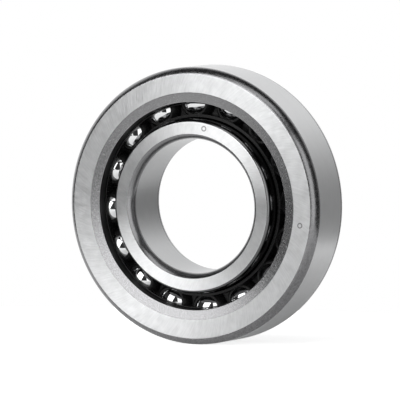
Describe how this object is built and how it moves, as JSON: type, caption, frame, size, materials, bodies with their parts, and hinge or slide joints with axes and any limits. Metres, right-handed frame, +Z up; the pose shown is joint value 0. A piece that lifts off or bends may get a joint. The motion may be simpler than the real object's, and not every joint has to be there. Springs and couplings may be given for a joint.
{
  "type": "ball bearing",
  "caption": "Steep-angle single-row ball bearing for screw drives: ground steel rings, polished steel balls and a one-piece black moulded cage.",
  "frame": {"origin": "centre of the bearing, on its axis and midway between its end faces", "axes": "+Y along the axis towards the rear, where the inner ring has its high shoulder; the front, with the outer ring's high shoulder, faces -Y; +Z up"},
  "size_m": [0.062, 0.015, 0.062],
  "materials": {
    "outer_ring_steel": "ground bearing steel with a faint circular grain, bright on the faces and the outside",
    "inner_ring_steel": "ground bearing steel with a faint circular grain, bright on the faces and in the bore",
    "cage_polyamide": "black moulded glass fibre reinforced polyamide, semi-gloss",
    "ball_steel": "lapped mirror finish"
  },
  "bodies": {
    "outer_ring": {"outer_ring": "outer_ring_steel"},
    "inner_ring": {"inner_ring": "inner_ring_steel"},
    "cage": {"cage": "cage_polyamide"},
    "ball_01": {"ball_01": "ball_steel"},
    "ball_02": {"ball_02": "ball_steel"},
    "ball_03": {"ball_03": "ball_steel"},
    "ball_04": {"ball_04": "ball_steel"},
    "ball_05": {"ball_05": "ball_steel"},
    "ball_06": {"ball_06": "ball_steel"},
    "ball_07": {"ball_07": "ball_steel"},
    "ball_08": {"ball_08": "ball_steel"},
    "ball_09": {"ball_09": "ball_steel"},
    "ball_10": {"ball_10": "ball_steel"},
    "ball_11": {"ball_11": "ball_steel"},
    "ball_12": {"ball_12": "ball_steel"},
    "ball_13": {"ball_13": "ball_steel"},
    "ball_14": {"ball_14": "ball_steel"},
    "ball_15": {"ball_15": "ball_steel"},
    "ball_16": {"ball_16": "ball_steel"}
  },
  "joints": [
    {"name": "inner_ring_spin", "type": "hinge", "parent": "outer_ring", "child": "inner_ring", "pos_m": [0, 0, 0], "axis": [0, 1, 0], "continuous": true},
    {"name": "cage_spin", "type": "hinge", "parent": "outer_ring", "child": "cage", "pos_m": [0, 0, 0], "axis": [0, 1, 0], "continuous": true},
    {"name": "ball_01_roll", "type": "hinge", "parent": "cage", "child": "ball_01", "pos_m": [0.0232, 0, 0.00154], "axis": [0.8641, 0.5, 0.0574], "continuous": true},
    {"name": "ball_02_roll", "type": "hinge", "parent": "cage", "child": "ball_02", "pos_m": [0.02084, 0, 0.0103], "axis": [0.7764, 0.5, 0.3837], "continuous": true},
    {"name": "ball_03_roll", "type": "hinge", "parent": "cage", "child": "ball_03", "pos_m": [0.01531, 0, 0.01749], "axis": [0.5704, 0.5, 0.6516], "continuous": true},
    {"name": "ball_04_roll", "type": "hinge", "parent": "cage", "child": "ball_04", "pos_m": [0.00745, 0, 0.02202], "axis": [0.2777, 0.5, 0.8203], "continuous": true},
    {"name": "ball_05_roll", "type": "hinge", "parent": "cage", "child": "ball_05", "pos_m": [-0.00154, 0, 0.0232], "axis": [-0.0574, 0.5, 0.8641], "continuous": true},
    {"name": "ball_06_roll", "type": "hinge", "parent": "cage", "child": "ball_06", "pos_m": [-0.0103, 0, 0.02084], "axis": [-0.3837, 0.5, 0.7764], "continuous": true},
    {"name": "ball_07_roll", "type": "hinge", "parent": "cage", "child": "ball_07", "pos_m": [-0.01749, 0, 0.01531], "axis": [-0.6516, 0.5, 0.5704], "continuous": true},
    {"name": "ball_08_roll", "type": "hinge", "parent": "cage", "child": "ball_08", "pos_m": [-0.02202, 0, 0.00745], "axis": [-0.8203, 0.5, 0.2777], "continuous": true},
    {"name": "ball_09_roll", "type": "hinge", "parent": "cage", "child": "ball_09", "pos_m": [-0.0232, 0, -0.00154], "axis": [-0.8641, 0.5, -0.0574], "continuous": true},
    {"name": "ball_10_roll", "type": "hinge", "parent": "cage", "child": "ball_10", "pos_m": [-0.02084, 0, -0.0103], "axis": [-0.7764, 0.5, -0.3837], "continuous": true},
    {"name": "ball_11_roll", "type": "hinge", "parent": "cage", "child": "ball_11", "pos_m": [-0.01531, 0, -0.01749], "axis": [-0.5704, 0.5, -0.6516], "continuous": true},
    {"name": "ball_12_roll", "type": "hinge", "parent": "cage", "child": "ball_12", "pos_m": [-0.00745, 0, -0.02202], "axis": [-0.2777, 0.5, -0.8203], "continuous": true},
    {"name": "ball_13_roll", "type": "hinge", "parent": "cage", "child": "ball_13", "pos_m": [0.00154, 0, -0.0232], "axis": [0.0574, 0.5, -0.8641], "continuous": true},
    {"name": "ball_14_roll", "type": "hinge", "parent": "cage", "child": "ball_14", "pos_m": [0.0103, 0, -0.02084], "axis": [0.3837, 0.5, -0.7764], "continuous": true},
    {"name": "ball_15_roll", "type": "hinge", "parent": "cage", "child": "ball_15", "pos_m": [0.01749, 0, -0.01531], "axis": [0.6516, 0.5, -0.5704], "continuous": true},
    {"name": "ball_16_roll", "type": "hinge", "parent": "cage", "child": "ball_16", "pos_m": [0.02202, 0, -0.00745], "axis": [0.8203, 0.5, -0.2777], "continuous": true}
  ],
  "couplings": [
    {"joint": "cage_spin", "follows": "inner_ring_spin", "ratio": 0.45732},
    {"joint": "ball_01_roll", "follows": "inner_ring_spin", "ratio": -2.9076},
    {"joint": "ball_02_roll", "follows": "inner_ring_spin", "ratio": -2.9076},
    {"joint": "ball_03_roll", "follows": "inner_ring_spin", "ratio": -2.9076},
    {"joint": "ball_04_roll", "follows": "inner_ring_spin", "ratio": -2.9076},
    {"joint": "ball_05_roll", "follows": "inner_ring_spin", "ratio": -2.9076},
    {"joint": "ball_06_roll", "follows": "inner_ring_spin", "ratio": -2.9076},
    {"joint": "ball_07_roll", "follows": "inner_ring_spin", "ratio": -2.9076},
    {"joint": "ball_08_roll", "follows": "inner_ring_spin", "ratio": -2.9076},
    {"joint": "ball_09_roll", "follows": "inner_ring_spin", "ratio": -2.9076},
    {"joint": "ball_10_roll", "follows": "inner_ring_spin", "ratio": -2.9076},
    {"joint": "ball_11_roll", "follows": "inner_ring_spin", "ratio": -2.9076},
    {"joint": "ball_12_roll", "follows": "inner_ring_spin", "ratio": -2.9076},
    {"joint": "ball_13_roll", "follows": "inner_ring_spin", "ratio": -2.9076},
    {"joint": "ball_14_roll", "follows": "inner_ring_spin", "ratio": -2.9076},
    {"joint": "ball_15_roll", "follows": "inner_ring_spin", "ratio": -2.9076},
    {"joint": "ball_16_roll", "follows": "inner_ring_spin", "ratio": -2.9076}
  ]
}
